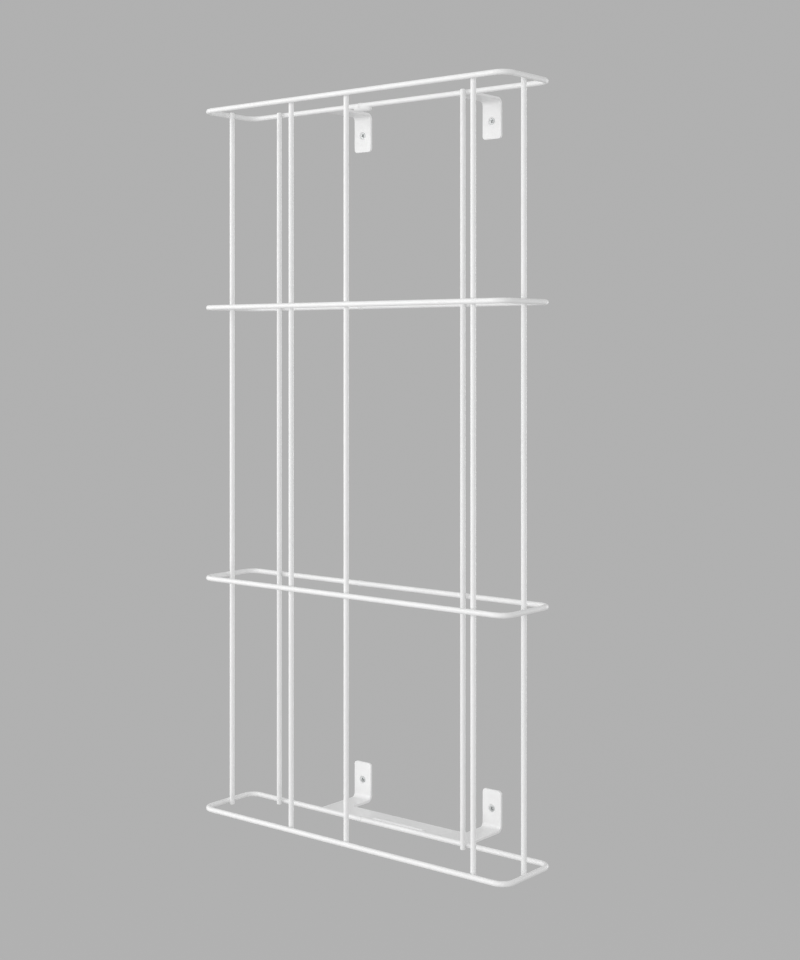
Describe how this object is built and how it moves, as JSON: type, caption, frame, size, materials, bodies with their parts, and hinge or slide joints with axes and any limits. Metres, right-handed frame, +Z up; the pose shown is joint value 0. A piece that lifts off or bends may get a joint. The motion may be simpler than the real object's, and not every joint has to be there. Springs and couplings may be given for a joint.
{
  "type": "wire wall bookshelf",
  "caption": "Wall-hung wire bookshelf: rounded steel-wire hoops stacked on welded upright wires, with folded plate brackets that screw to the wall.",
  "frame": {"origin": "centre of the four screw holes, on the plane of the wall", "axes": "+Z up, +X along the shelf to the right as seen from the room, +Y into the wall"},
  "size_m": [0.45, 0.1545, 0.845],
  "materials": {
    "white_powder_coat": "satin white powder coat with a fine orange peel",
    "zinc_plated_steel": "bright zinc plate on the wall screws, which only the visual model has"
  },
  "bodies": {
    "root": {"hoop_bottom": "white_powder_coat", "hoop_lower": "white_powder_coat", "hoop_upper": "white_powder_coat", "hoop_top": "white_powder_coat", "end_post_left": "white_powder_coat", "end_post_right": "white_powder_coat", "front_post_left": "white_powder_coat", "front_post_middle": "white_powder_coat", "front_post_right": "white_powder_coat", "rear_post_left": "white_powder_coat", "rear_post_right": "white_powder_coat", "bracket_bottom": "white_powder_coat", "bracket_top_left": "white_powder_coat", "bracket_top_right": "white_powder_coat"}
  },
  "joints": []
}
